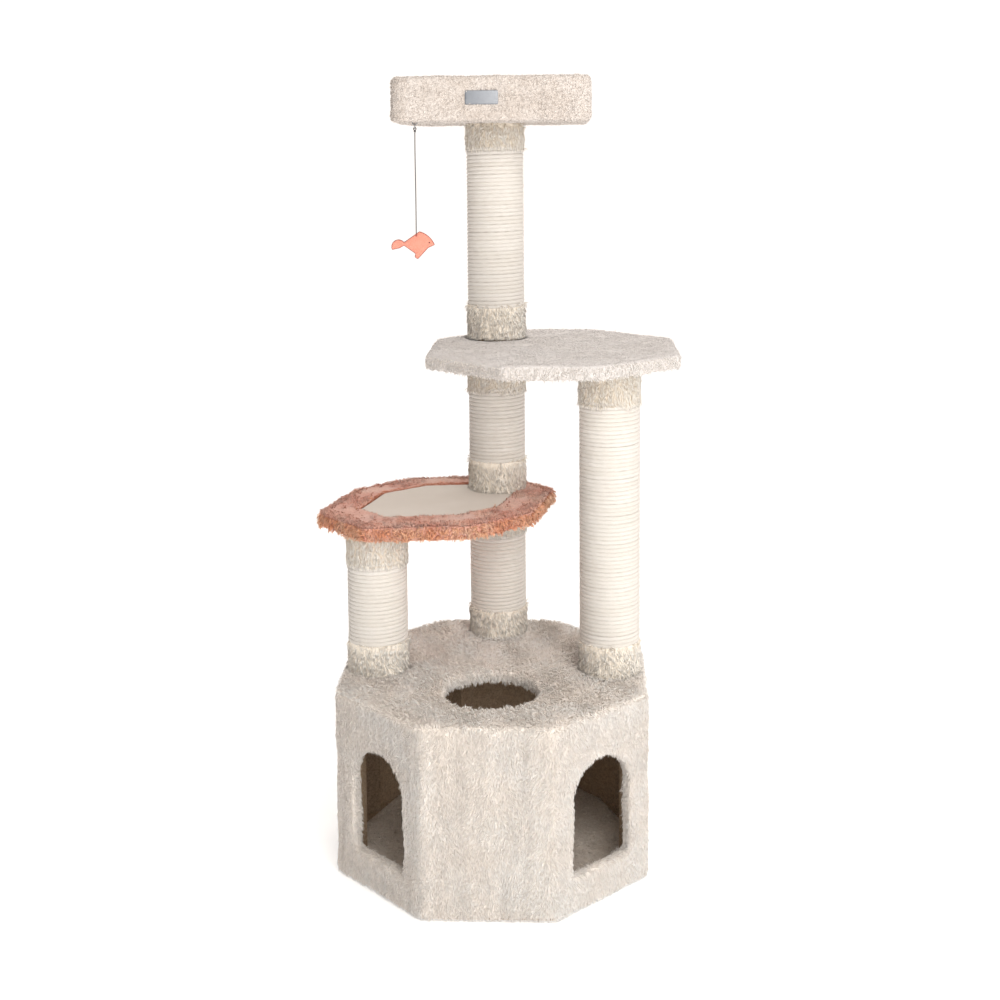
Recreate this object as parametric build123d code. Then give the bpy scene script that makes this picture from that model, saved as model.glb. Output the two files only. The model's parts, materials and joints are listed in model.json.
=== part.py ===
from build123d import *
import math
import os

# A cat tree. An octagonal condo with two arched doors and a top hole carries three posts.
# A low perch, a mid platform and a top perch hang on the posts, and a fish toy hangs on a cord.
# Millimetres, +Z up. The origin is the centre of the condo's footprint, on the floor.
# +X is the side of the right post, +Y is the side of the rear post.

# Clearances
SKIN_GAP = 0.2
PART_GAP = 0.3
MITRE_GAP = 0.1

# Condo
CONDO_ACROSS_FLATS = 460.0
CONDO_HEIGHT = 282.0
CONDO_BOARD = 12.0
CONDO_PILE = 8.0
CONDO_CORNER_RADIUS = 8.0
FLOOR_PAD = 6.0
SKIRT_GAP = 1.5
LINING = 6.0
HOLE_RADIUS = 74.0
HOLE_FROM_FRONT = 144.0
DOOR_WIDTH = 116.0
DOOR_SILL = 53.0
DOOR_HEAD = 67.0
BATTEN_SIDE = 20.0
BATTEN_DEPTH = 22.0

# Posts
TUBE_OD = 80.0
TUBE_WALL = 5.0
ROPE = 6.0
COLLAR = 8.5
PLUG = 18.0
POST_EDGE = 4.0
LEFT_POST = 230.0
REAR_MIDDLE_POST = 236.0
REAR_UPPER_POST = 356.0

# Collar heights, each from the board that the collar's end of the post stands on
REAR_LOWER_COLLARS = (56.0, 48.0)
REAR_MIDDLE_COLLARS = (56.6, 64.7)
REAR_UPPER_COLLARS = (59.6, 46.8)
RIGHT_COLLARS = (58.2, 57.2)
LEFT_COLLARS = (57.3, 49.9)

# Low perch, a long octagon along the line from the left post to the rear post
LOW_BOARD = 16.0
LOW_PILE = 4.0
LOW_EDGE_PILE = 8.0
LOW_TURN = 42.0
LOW_END_OVERHANG = 63.6
LOW_WIDTH = 307.0
LOW_CORNER = (129.0, 91.0)
LOW_SHIFT = (1.0, 3.0)
LOW_RIM = 60.0

# Mid platform, reaching past the rear and right posts
MID_BOARD = 15.0
MID_PILE = 4.0
MID_EDGE_PILE = 8.0
MID_LEFT_OVERHANG = 96.5
MID_RIGHT_OVERHANG = 104.5
MID_FRONT_OVERHANG = 142.0
MID_REAR_OVERHANG = 108.0
MID_CORNER = 118.0

# Top perch, a square tray centred on the rear post
PERCH_WIDTH = 303.0
PERCH_DEPTH = 304.0
PERCH_CORNER = 22.0
PERCH_BOARD = 12.0
PERCH_PILE = 6.0
PERCH_SIDE_PILE = 7.0
PERCH_RIM_HEIGHT = 41.0
PERCH_RIM = 18.0
PERCH_RIM_PILE = 8.0
PERCH_PAD = 6.0

# Nameplate
PLATE_WIDTH = 50.0
PLATE_HEIGHT = 21.0
PLATE = 1.0
PLATE_CORNER = 2.0
PLATE_X = -12.5
PLATE_RISE = 35.0
RIVET_SHANK = 1.2
RIVET_HEAD = 2.0
RIVET_INSET = 4.0

# Fasteners
BOLT_RADIUS = 3.9
THREAD_RADIUS = 4.05
BOLT_HOLE = 4.5
INSERT_RADIUS = 6.0
BOLT_BITE = 15.0
HEX_ACROSS_FLATS = 13.0
HEX_HEAD = 5.3
WASHER_RADIUS = 12.0
WASHER = 2.0
CAP_HEAD_RADIUS = 7.0
CAP_HEAD = 4.0
SCREW_RADIUS = 1.9
SCREW_LENGTH = 30.0
SCREW_HEAD_RADIUS = 4.0
SCREW_HEAD = 2.5
RUNNING_GAP = 0.1

# Toy
TOY_FROM_LEFT = 35.5
TOY_FROM_FRONT = 24.0
EYE_RADIUS = 4.0
EYE_WIRE = 0.9
EYE_STEM = 8.0
RING_RADIUS = 4.0
RING_WIRE = 0.7
HANG_GAP = 0.2
LOOP_RADIUS = 2.0
CORD_DIAMETER = 1.5
KNOT_RADIUS = 1.8
KNOT_HEIGHT = 3.6
CORD_SEAT = 3.0
CORD_BORE = 1.1
FISH_THICKNESS = 10.0

# Heights of the boards' faces, from the floor up
CONDO_TOP_FACE = CONDO_HEIGHT - CONDO_PILE
CONDO_CEILING = CONDO_TOP_FACE - CONDO_BOARD
LOW_UNDER = CONDO_TOP_FACE + LEFT_POST
LOW_TOP = LOW_UNDER + LOW_BOARD
MID_UNDER = LOW_TOP + REAR_MIDDLE_POST
MID_TOP = MID_UNDER + MID_BOARD
PERCH_UNDER = MID_TOP + REAR_UPPER_POST
PERCH_TRAY = PERCH_UNDER + PERCH_BOARD
PERCH_RIM_TOP = PERCH_TRAY + PERCH_RIM_HEIGHT
PERCH_BOTTOM = PERCH_UNDER - PERCH_PILE
PERCH_TOP = PERCH_RIM_TOP + PERCH_RIM_PILE

# Radii and plan positions
BOARD_APOTHEM = CONDO_ACROSS_FLATS / 2 - CONDO_PILE
WALL_INNER = BOARD_APOTHEM - CONDO_BOARD
HALF_TURN = math.radians(22.5)
TUBE_RADIUS = TUBE_OD / 2
ROPE_RADIUS = TUBE_RADIUS + ROPE
COLLAR_RADIUS = TUBE_RADIUS + COLLAR
POST_CIRCLE = BOARD_APOTHEM - TUBE_RADIUS - POST_EDGE
REAR = (0.0, POST_CIRCLE)
RIGHT = (POST_CIRCLE, 0.0)
LEFT = (-POST_CIRCLE, 0.0)
HOLE = (0.0, HOLE_FROM_FRONT - CONDO_ACROSS_FLATS / 2)
WALL_TURNS = {
    "right": 0, "rear_right": 45, "rear": 90, "rear_left": 135,
    "left": 180, "front_left": 225, "front": 270, "front_right": 315,
}
DOOR_WALLS = ("front_left", "front_right")


def octagon(apothem):
    """Face of a regular octagon with flats on the X and Y axes."""
    return RegularPolygon(apothem, 8, major_radius=False, rotation=22.5)


def slab(face, low, high):
    """The face, drawn flat, made solid between two heights."""
    return extrude(Pos(0, 0, low) * face, amount=high - low)


def rod(radius, place, low, high):
    """Upright cylinder at a plan position."""
    base = (Align.CENTER, Align.CENTER, Align.MIN)
    return Pos(place[0], place[1], low) * Cylinder(radius, high - low, align=base)


def sleeve(inner, outer, place, low, high):
    """Upright tube at a plan position."""
    return rod(outer, place, low, high) - rod(inner, place, low - 1, high + 1)


def group(solids):
    """Separate solids kept as one node."""
    return Compound(children=[solid for shape in solids for solid in shape.solids()])


def door_shape(margin, start, end):
    """Arched door, grown by a margin, as a solid along +X between two distances."""
    width = DOOR_WIDTH + 2 * margin
    sill = DOOR_SILL - margin
    spring = CONDO_HEIGHT - DOOR_HEAD - DOOR_WIDTH / 2
    straight = Pos(0, (sill + spring) / 2) * Rectangle(width, spring - sill)
    face = straight + Pos(0, spring) * Circle(width / 2)
    return Pos(start, 0, 0) * extrude(Plane.YZ * face, amount=end - start)


def corner_places(distance):
    """Plan positions on the eight corner lines, a distance in from the walls' inner corners."""
    radius = WALL_INNER / math.cos(HALF_TURN) - distance
    turns = [HALF_TURN + math.pi / 4 * step for step in range(8)]
    return [(radius * math.cos(turn), radius * math.sin(turn)) for turn in turns]


def screws(head_face, direction):
    """Countersunk screws on the corner lines; direction is the way that they point, up or down."""
    made = []
    for place in corner_places(BATTEN_DEPTH / 2):
        head_end = head_face + direction * SCREW_HEAD
        tip = head_face + direction * SCREW_LENGTH
        head = rod(SCREW_HEAD_RADIUS, place, min(head_face, head_end), max(head_face, head_end))
        shank = rod(SCREW_RADIUS, place, min(head_end, tip), max(head_end, tip))
        made.append(head + shank)
    return made


def screw_cut(head_face, direction):
    """What the screws need cut out of a board and of the battens behind it."""
    cut = []
    for place in corner_places(BATTEN_DEPTH / 2):
        start = head_face - direction
        sunk = head_face + direction * (SCREW_HEAD + RUNNING_GAP)
        tip = head_face + direction * (SCREW_LENGTH + PART_GAP)
        cut.append(rod(SCREW_HEAD_RADIUS + RUNNING_GAP, place, min(start, sunk), max(start, sunk)))
        cut.append(rod(SCREW_RADIUS + RUNNING_GAP, place, min(start, tip), max(start, tip)))
    return Part() + cut


# Condo -----------------------------------------------------------------------

def condo_wall(name):
    """One mitred wall board; the two front corner walls have an arched door."""
    half_outer = BOARD_APOTHEM * math.tan(HALF_TURN) - MITRE_GAP
    half_inner = WALL_INNER * math.tan(HALF_TURN) - MITRE_GAP
    corners = [
        (WALL_INNER, -half_inner), (BOARD_APOTHEM, -half_outer),
        (BOARD_APOTHEM, half_outer), (WALL_INNER, half_inner),
    ]
    wall = slab(Polygon(*corners, align=None), CONDO_BOARD, CONDO_CEILING)
    if name in DOOR_WALLS:
        wall -= door_shape(LINING, WALL_INNER - 1, BOARD_APOTHEM + 1)
    return Rot(0, 0, WALL_TURNS[name]) * wall


def corner_battens():
    """Kite-shaped battens that the walls and both boards are fixed to."""
    made = []
    corner = WALL_INNER / math.cos(HALF_TURN) - SKIN_GAP
    along = math.radians(67.5)
    step_in = BATTEN_SIDE * math.cos(along)
    step_out = BATTEN_SIDE * math.sin(along)
    kite = Polygon(
        (corner, 0), (corner - step_in, step_out),
        (corner - BATTEN_DEPTH, 0), (corner - step_in, -step_out), align=None,
    )
    for step in range(8):
        batten = slab(kite, CONDO_BOARD, CONDO_CEILING)
        made.append(Rot(0, 0, 22.5 + 45 * step) * batten)
    cuts = screw_cut(0, 1) + screw_cut(CONDO_TOP_FACE, -1)
    return group([batten - cuts for batten in made])


def condo_floor_board():
    board = slab(octagon(BOARD_APOTHEM), 0, CONDO_BOARD)
    return board - screw_cut(0, 1)


def condo_floor_plush():
    """Pad on the floor board, with its corners cut back to the battens."""
    batten_line = WALL_INNER / math.cos(HALF_TURN) - BATTEN_DEPTH - 2 * PART_GAP
    face = octagon(WALL_INNER - PART_GAP) & (Rot(0, 0, 22.5) * octagon(batten_line))
    return slab(face, CONDO_BOARD + SKIN_GAP, CONDO_BOARD + FLOOR_PAD)


def condo_top_board():
    board = slab(octagon(BOARD_APOTHEM), CONDO_CEILING, CONDO_TOP_FACE)
    board -= rod(HOLE_RADIUS + LINING, HOLE, CONDO_CEILING - 1, CONDO_TOP_FACE + 1)
    for place in (REAR, RIGHT, LEFT):
        board -= rod(BOLT_HOLE, place, CONDO_CEILING - 1, CONDO_TOP_FACE + 1)
    return board - screw_cut(CONDO_TOP_FACE, -1)


def condo_top_plush():
    cover = slab(octagon(BOARD_APOTHEM), CONDO_TOP_FACE + SKIN_GAP, CONDO_HEIGHT)
    cover -= rod(HOLE_RADIUS + LINING, HOLE, CONDO_TOP_FACE - 1, CONDO_HEIGHT + 1)
    for place in (REAR, RIGHT, LEFT):
        cover -= rod(TUBE_RADIUS + SKIN_GAP, place, CONDO_TOP_FACE - 1, CONDO_HEIGHT + 1)
    return cover


def condo_hole_lining():
    outer = HOLE_RADIUS + LINING - SKIN_GAP
    return sleeve(HOLE_RADIUS, outer, HOLE, CONDO_CEILING, CONDO_HEIGHT)


def condo_wall_plush():
    """Plush wrapped round the eight walls, from just above the floor to the top."""
    face = octagon(CONDO_ACROSS_FLATS / 2)
    face = fillet(face.vertices(), CONDO_CORNER_RADIUS)
    skin = slab(face, SKIRT_GAP, CONDO_HEIGHT)
    skin -= slab(octagon(BOARD_APOTHEM + SKIN_GAP), SKIRT_GAP - 1, CONDO_HEIGHT + 1)
    for name in DOOR_WALLS:
        door = door_shape(LINING, WALL_INNER, CONDO_ACROSS_FLATS / 2 + 1)
        skin -= Rot(0, 0, WALL_TURNS[name]) * door
    return skin


def condo_door_linings():
    """Plush turned in round the edge of each door."""
    made = []
    for name in DOOR_WALLS:
        lining = door_shape(LINING - SKIN_GAP, WALL_INNER, CONDO_ACROSS_FLATS / 2)
        lining -= door_shape(0, WALL_INNER - 1, CONDO_ACROSS_FLATS / 2 + 1)
        made.append(Rot(0, 0, WALL_TURNS[name]) * lining)
    return group(made)


# Posts -----------------------------------------------------------------------
# name: plan position, lower and upper board face, pile on each face, collar heights
POSTS = {
    "left_post": (LEFT, CONDO_TOP_FACE, LOW_UNDER, CONDO_PILE, LOW_PILE, LEFT_COLLARS),
    "right_post": (RIGHT, CONDO_TOP_FACE, MID_UNDER, CONDO_PILE, MID_PILE, RIGHT_COLLARS),
    "rear_post_lower": (REAR, CONDO_TOP_FACE, LOW_UNDER, CONDO_PILE, LOW_PILE, REAR_LOWER_COLLARS),
    "rear_post_middle": (REAR, LOW_TOP, MID_UNDER, LOW_PILE, MID_PILE, REAR_MIDDLE_COLLARS),
    "rear_post_upper": (REAR, MID_TOP, PERCH_UNDER, MID_PILE, PERCH_PILE, REAR_UPPER_COLLARS),
}


def post_pieces(name):
    """The tube of one post, its rope winding and the plush collars at its two ends."""
    place, low, high, low_pile, high_pile, collars = POSTS[name]
    rope_low = low + collars[0]
    rope_high = high - collars[1]
    inner = TUBE_RADIUS + SKIN_GAP
    return {
        name + "_tube": sleeve(TUBE_RADIUS - TUBE_WALL, TUBE_RADIUS, place, low, high),
        name + "_rope": sleeve(inner, ROPE_RADIUS, place, rope_low, rope_high),
        name + "_lower_collar": sleeve(
            inner, COLLAR_RADIUS, place, low + low_pile + PART_GAP, rope_low - SKIN_GAP),
        name + "_upper_collar": sleeve(
            inner, COLLAR_RADIUS, place, rope_high + SKIN_GAP, high - high_pile - PART_GAP),
    }


def post_ends():
    """Plan position and both heights of every plug."""
    ends = []
    for place, low, high, *rest in POSTS.values():
        ends.append((place, low, low + PLUG))
        ends.append((place, high - PLUG, high))
    return ends


def post_plugs():
    outer = TUBE_RADIUS - TUBE_WALL - SKIN_GAP
    inner = INSERT_RADIUS + RUNNING_GAP
    return group([sleeve(inner, outer, place, low, high) for place, low, high in post_ends()])


def post_inserts():
    return group([
        sleeve(THREAD_RADIUS, INSERT_RADIUS, place, low, high) for place, low, high in post_ends()])


# Fasteners -------------------------------------------------------------------

def condo_bolts():
    """Hex bolts up through the condo's top board into the three posts."""
    made = []
    head_top = CONDO_CEILING - WASHER
    for place in (REAR, RIGHT, LEFT):
        hexagon = RegularPolygon(HEX_ACROSS_FLATS / 2, 6, major_radius=False)
        head = Pos(place[0], place[1], 0) * slab(hexagon, head_top - HEX_HEAD, head_top)
        shank = rod(BOLT_RADIUS, place, head_top, CONDO_TOP_FACE + BOLT_BITE)
        made.append(head + shank)
    return group(made)


def condo_washers():
    return group([
        sleeve(BOLT_HOLE, WASHER_RADIUS, place, CONDO_CEILING - WASHER, CONDO_CEILING)
        for place in (REAR, RIGHT, LEFT)])


def joining_studs():
    """Studs through the low perch and the mid platform that join the rear post's sections."""
    return group([
        rod(BOLT_RADIUS, REAR, LOW_UNDER - BOLT_BITE, LOW_TOP + BOLT_BITE),
        rod(BOLT_RADIUS, REAR, MID_UNDER - BOLT_BITE, MID_TOP + BOLT_BITE)])


CAPPED_ENDS = ((LEFT, LOW_UNDER, LOW_TOP), (RIGHT, MID_UNDER, MID_TOP), (REAR, PERCH_UNDER, PERCH_TRAY))


def cap_bolts():
    """Bolts sunk in the boards over the left, right and rear posts."""
    made = []
    for place, under, top in CAPPED_ENDS:
        head = rod(CAP_HEAD_RADIUS, place, top - CAP_HEAD, top)
        made.append(head + rod(BOLT_RADIUS, place, under - BOLT_BITE, top - CAP_HEAD))
    return group(made)


def bolt_cuts(board, under, top):
    """Bolt holes and head recesses of one board."""
    for place, end_under, end_top in CAPPED_ENDS:
        if end_top == top:
            sunk = top - CAP_HEAD - RUNNING_GAP
            board -= rod(CAP_HEAD_RADIUS + PART_GAP, place, sunk, top + 1)
            board -= rod(BOLT_HOLE, place, under - 1, top)
    return board


# Low perch -------------------------------------------------------------------

def long_octagon(length, width, corner, inset):
    """Rectangle with its corners cut off, drawn a distance inside its own edge."""
    x, y = length / 2, width / 2
    cut_x, cut_y = corner
    points = [
        (x, y - cut_y), (x - cut_x, y), (cut_x - x, y), (-x, y - cut_y),
        (-x, cut_y - y), (cut_x - x, -y), (x - cut_x, -y), (x, cut_y - y)]
    face = Polygon(*points, align=None)
    if inset:
        face = offset(face, amount=-inset, kind=Kind.INTERSECTION)
    return face


LOW_LENGTH = math.hypot(REAR[0] - LEFT[0], REAR[1] - LEFT[1]) + 2 * LOW_END_OVERHANG
LOW_CENTRE = ((REAR[0] + LEFT[0]) / 2 + LOW_SHIFT[0], (REAR[1] + LEFT[1]) / 2 + LOW_SHIFT[1])


def low_face(inset):
    turn = Pos(LOW_CENTRE[0], LOW_CENTRE[1], 0) * Rot(0, 0, LOW_TURN)
    return turn * long_octagon(LOW_LENGTH, LOW_WIDTH, LOW_CORNER, inset)


def low_perch_board():
    board = slab(low_face(LOW_EDGE_PILE), LOW_UNDER, LOW_TOP)
    board -= rod(BOLT_HOLE, REAR, LOW_UNDER - 1, LOW_TOP + 1)
    return bolt_cuts(board, LOW_UNDER, LOW_TOP)


def tube_cuts(cover, places, low, high):
    for place in places:
        cover -= rod(TUBE_RADIUS + SKIN_GAP, place, low, high)
    return cover


def low_perch_rim():
    """Long plush round the edge, under the board and over the top as far as the centre panel."""
    cover = slab(low_face(0), LOW_UNDER - LOW_PILE, LOW_TOP + LOW_PILE)
    cover -= slab(low_face(LOW_EDGE_PILE - SKIN_GAP), LOW_UNDER - SKIN_GAP, LOW_TOP + SKIN_GAP)
    cover -= slab(low_face(LOW_RIM), LOW_TOP, LOW_TOP + LOW_PILE + 1)
    cover = tube_cuts(cover, (REAR, LEFT), LOW_UNDER - LOW_PILE - 1, LOW_UNDER)
    return tube_cuts(cover, (REAR,), LOW_TOP, LOW_TOP + LOW_PILE + 1)


def low_perch_panel():
    panel = slab(low_face(LOW_RIM + PART_GAP), LOW_TOP + SKIN_GAP, LOW_TOP + LOW_PILE)
    return tube_cuts(panel, (REAR,), LOW_TOP, LOW_TOP + LOW_PILE + 1)


# Mid platform ----------------------------------------------------------------
MID_X = (REAR[0] - MID_LEFT_OVERHANG, RIGHT[0] + MID_RIGHT_OVERHANG)
MID_Y = (RIGHT[1] - MID_FRONT_OVERHANG, REAR[1] + MID_REAR_OVERHANG)


def mid_face(inset):
    face = long_octagon(MID_X[1] - MID_X[0], MID_Y[1] - MID_Y[0], (MID_CORNER, MID_CORNER), inset)
    return Pos((MID_X[0] + MID_X[1]) / 2, (MID_Y[0] + MID_Y[1]) / 2, 0) * face


def mid_platform_board():
    board = slab(mid_face(MID_EDGE_PILE), MID_UNDER, MID_TOP)
    board -= rod(BOLT_HOLE, REAR, MID_UNDER - 1, MID_TOP + 1)
    return bolt_cuts(board, MID_UNDER, MID_TOP)


def mid_platform_plush():
    cover = slab(mid_face(0), MID_UNDER - MID_PILE, MID_TOP + MID_PILE)
    cover -= slab(mid_face(MID_EDGE_PILE - SKIN_GAP), MID_UNDER - SKIN_GAP, MID_TOP + SKIN_GAP)
    cover = tube_cuts(cover, (REAR, RIGHT), MID_UNDER - MID_PILE - 1, MID_UNDER)
    return tube_cuts(cover, (REAR,), MID_TOP, MID_TOP + MID_PILE + 1)


# Top perch -------------------------------------------------------------------
PERCH_FRONT = REAR[1] - PERCH_DEPTH / 2
TOY_PLACE = (REAR[0] - PERCH_WIDTH / 2 + TOY_FROM_LEFT, PERCH_FRONT + TOY_FROM_FRONT)


def perch_face(inset):
    width = PERCH_WIDTH - 2 * inset
    depth = PERCH_DEPTH - 2 * inset
    return Pos(REAR[0], REAR[1], 0) * RectangleRounded(width, depth, max(PERCH_CORNER - inset, 2))


def perch_base_board():
    board = slab(perch_face(PERCH_SIDE_PILE), PERCH_UNDER, PERCH_TRAY)
    board -= rod(EYE_WIRE + RUNNING_GAP, TOY_PLACE, PERCH_UNDER - 1, PERCH_UNDER + EYE_STEM + 1)
    return bolt_cuts(board, PERCH_UNDER, PERCH_TRAY)


def rivet_places():
    reach = PLATE_WIDTH / 2 - RIVET_INSET
    return [(PLATE_X - reach, PERCH_BOTTOM + PLATE_RISE), (PLATE_X + reach, PERCH_BOTTOM + PLATE_RISE)]


def rivet_rods(radius, near, far):
    """Rods along +Y on the rivets' lines, between two distances from the perch's front."""
    rods = []
    for x, z in rivet_places():
        base = (Align.CENTER, Align.CENTER, Align.MIN)
        rods.append(Pos(x, PERCH_FRONT + near, z) * Rot(-90, 0, 0) * Cylinder(radius, far - near, align=base))
    return rods


RIVET_TIP = PERCH_SIDE_PILE + 8.0


def perch_rim_boards():
    """Four mitred strips that stand on the base board."""
    ring = slab(perch_face(PERCH_SIDE_PILE), PERCH_TRAY, PERCH_RIM_TOP)
    ring -= slab(perch_face(PERCH_SIDE_PILE + PERCH_RIM), PERCH_TRAY - 1, PERCH_RIM_TOP + 1)
    for rivet in rivet_rods(RIVET_SHANK + RUNNING_GAP, 0, RIVET_TIP + PART_GAP):
        ring -= rivet
    reach = max(PERCH_WIDTH, PERCH_DEPTH)
    wedge = Polygon((MITRE_GAP * 2, 0), (reach, MITRE_GAP - reach), (reach, reach - MITRE_GAP), align=None)
    strips = []
    for step in range(4):
        place = Pos(REAR[0], REAR[1], 0) * Rot(0, 0, 90 * step)
        strips.append(ring & (place * slab(wedge, PERCH_TRAY - 1, PERCH_RIM_TOP + 1)))
    return group(strips)


def perch_plush():
    """Plush over the underside, the four sides and the rim, turned down inside the tray."""
    inner = PERCH_SIDE_PILE + PERCH_RIM + LINING
    cover = slab(perch_face(0), PERCH_BOTTOM, PERCH_TOP)
    cover -= slab(perch_face(inner), PERCH_TRAY, PERCH_TOP + 1)
    ring = slab(perch_face(PERCH_SIDE_PILE - SKIN_GAP), PERCH_TRAY - 1, PERCH_RIM_TOP + SKIN_GAP)
    ring -= slab(perch_face(PERCH_SIDE_PILE + PERCH_RIM + SKIN_GAP), PERCH_TRAY - 2, PERCH_RIM_TOP + 1)
    board = slab(perch_face(PERCH_SIDE_PILE - SKIN_GAP), PERCH_UNDER - SKIN_GAP, PERCH_TRAY + SKIN_GAP)
    cover -= ring
    cover -= board
    for rivet in rivet_rods(RIVET_SHANK + RUNNING_GAP, -1, PERCH_SIDE_PILE + 1):
        cover -= rivet
    cover = tube_cuts(cover, (REAR,), PERCH_BOTTOM - 1, PERCH_UNDER)
    return cover - rod(EYE_RADIUS + 2 * EYE_WIRE + PART_GAP, TOY_PLACE, PERCH_BOTTOM - 1, PERCH_UNDER)


def perch_pad():
    inner = PERCH_SIDE_PILE + PERCH_RIM + LINING + PART_GAP
    return slab(perch_face(inner), PERCH_TRAY + SKIN_GAP, PERCH_TRAY + PERCH_PAD)


def nameplate():
    """Bare metal plate on the perch's front."""
    face = RectangleRounded(PLATE_WIDTH, PLATE_HEIGHT, PLATE_CORNER)
    back = PERCH_FRONT - PART_GAP
    stand = Pos(PLATE_X, back, PERCH_BOTTOM + PLATE_RISE) * Rot(90, 0, 0)
    plate = stand * extrude(face, amount=PLATE)
    for rivet in rivet_rods(RIVET_SHANK + RUNNING_GAP, -PLATE - 2, 1):
        plate -= rivet
    return plate


def nameplate_rivets():
    face = -PART_GAP - PLATE
    shanks = rivet_rods(RIVET_SHANK, face, RIVET_TIP)
    heads = rivet_rods(RIVET_HEAD, face - 1, face)
    return group([shank + head for shank, head in zip(shanks, heads)])


# Toy -------------------------------------------------------------------------
# Each link hangs on the wire of the one above, with a small gap.
EYE_CENTRE = PERCH_BOTTOM
EYE_LOW_WIRE = EYE_CENTRE - EYE_RADIUS
RING_CENTRE = EYE_LOW_WIRE + EYE_WIRE + HANG_GAP - (RING_RADIUS - RING_WIRE)
RING_LOW_WIRE = RING_CENTRE - RING_RADIUS
CORD_RADIUS = CORD_DIAMETER / 2
LOOP_CENTRE = RING_LOW_WIRE + RING_WIRE + HANG_GAP - (LOOP_RADIUS - CORD_RADIUS)
KNOT_TOP = LOOP_CENTRE - LOOP_RADIUS
KNOT_LOW = KNOT_TOP - KNOT_HEIGHT
# The cord's points, across, deep and down from the knot
CORD_POINTS = [
    (0, 0, 0), (-0.25, 0.1, -26), (-0.1, 0.25, -56), (0.2, 0.1, -92), (0.15, -0.1, -128), (0, 0, -158),
]
CORD_END = KNOT_LOW + CORD_POINTS[-1][2]
FISH_BACK = CORD_END + CORD_SEAT


def wire_ring(radius, wire, height, turn):
    """Round wire ring standing upright at the toy's place."""
    return Pos(TOY_PLACE[0], TOY_PLACE[1], height) * Rot(0, 0, turn) * Rot(90, 0, 0) * Torus(radius, wire)


def toy_eye():
    """Screw eye in the perch's underside."""
    top_wire = EYE_CENTRE + EYE_RADIUS
    stem = rod(EYE_WIRE, TOY_PLACE, top_wire, PERCH_UNDER + EYE_STEM)
    return wire_ring(EYE_RADIUS, EYE_WIRE, EYE_CENTRE, 0) + stem


def toy_ring():
    return wire_ring(RING_RADIUS, RING_WIRE, RING_CENTRE, 90)


def toy_knot():
    """The cord's loop round the ring, with the knot that closes it."""
    loop = wire_ring(LOOP_RADIUS, CORD_RADIUS, LOOP_CENTRE, 0)
    return loop + rod(KNOT_RADIUS, TOY_PLACE, KNOT_LOW, KNOT_TOP)


def toy_cord():
    """Hanging cord: straight runs joined by wide arcs, each as large as its two runs allow."""
    points = [Vector(TOY_PLACE[0] + x, TOY_PLACE[1] + y, KNOT_LOW + z) for x, y, z in CORD_POINTS]
    radii = []
    for before, here, after in zip(points, points[1:], points[2:]):
        turn = math.radians((here - before).get_angle(after - here))
        shorter = min((here - before).length, (after - here).length)
        radii.append(0.45 * shorter / math.tan(turn / 2))
    print("toy_cord bend radii:", [round(radius) for radius in radii])
    path = FilletPolyline(*points, radius=radii)
    start = Plane(origin=points[0], z_dir=points[1] - points[0])
    cord = sweep(start * Circle(CORD_RADIUS), path=path)
    print("toy_cord volume over section times length:",
          round(cord.volume / (math.pi * CORD_RADIUS ** 2 * path.length), 5))
    return cord


def fish_face():
    """Side view of the fish, facing +X, with the cord's end on its back at the origin."""
    outline = [
        ThreePointArc((5.0, 4.5), (20.5, -4.5), (28.5, -16.5)),
        Polyline((28.5, -16.5), (18.5, -21.0), (2.0, -38.5), (-3.0, -35.0), (-1.5, -30.0), (-19.0, -17.5)),
        Polyline((-19.0, -17.5), (-26.0, -21.5), (-37.5, -24.0)),
        ThreePointArc((-37.5, -24.0), (-31.0, -8.5), (-19.0, -12.0)),
        Line((-19.0, -12.0), (5.0, 4.5)),
    ]
    return make_face(outline)


def toy_fish():
    """Felt fish, lightly stuffed, with a bore in its back for the cord's end."""
    solid = extrude(Plane.XZ * fish_face(), amount=FISH_THICKNESS / 2, both=True)
    solid = Pos(TOY_PLACE[0], TOY_PLACE[1], FISH_BACK) * solid
    return solid - rod(CORD_BORE, TOY_PLACE, CORD_END - PART_GAP, FISH_BACK + 2 * CORD_SEAT)


# All nodes -------------------------------------------------------------------

def all_nodes():
    nodes = {"condo_wall_" + name: condo_wall(name) for name in WALL_TURNS}
    for piece in (
        condo_floor_board, condo_floor_plush, corner_battens, condo_top_board, condo_top_plush,
        condo_hole_lining, condo_wall_plush, condo_door_linings,
    ):
        nodes[piece.__name__] = piece()
    nodes["condo_screws"] = group(screws(0, 1) + screws(CONDO_TOP_FACE, -1))
    for name in POSTS:
        nodes.update(post_pieces(name))
    for piece in (
        post_plugs, post_inserts, condo_bolts, condo_washers, joining_studs, cap_bolts,
        low_perch_board, low_perch_rim, low_perch_panel, mid_platform_board, mid_platform_plush,
        perch_base_board, perch_rim_boards, perch_plush, perch_pad, nameplate, nameplate_rivets,
        toy_eye, toy_ring, toy_knot, toy_cord, toy_fish,
    ):
        nodes[piece.__name__] = piece()
    return nodes


os.makedirs("parts", exist_ok=True)
for node_name, shape in all_nodes().items():
    export_step(shape, "parts/" + node_name + ".step")
print("ring pivot", [round(value, 3) for value in (*TOY_PLACE, EYE_LOW_WIRE)])
print("line pivot", [round(value, 3) for value in (*TOY_PLACE, RING_LOW_WIRE)])
print("fish back", round(FISH_BACK, 3), "knot low", round(KNOT_LOW, 3), "cord end", round(CORD_END, 3))
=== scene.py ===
"""A cat tree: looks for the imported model. Metres, +Z up, origin at the centre of the condo's foot."""
import json
import math

import bpy
import numpy as np
from mathutils import Matrix, Vector
from mathutils.kdtree import KDTree


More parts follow.
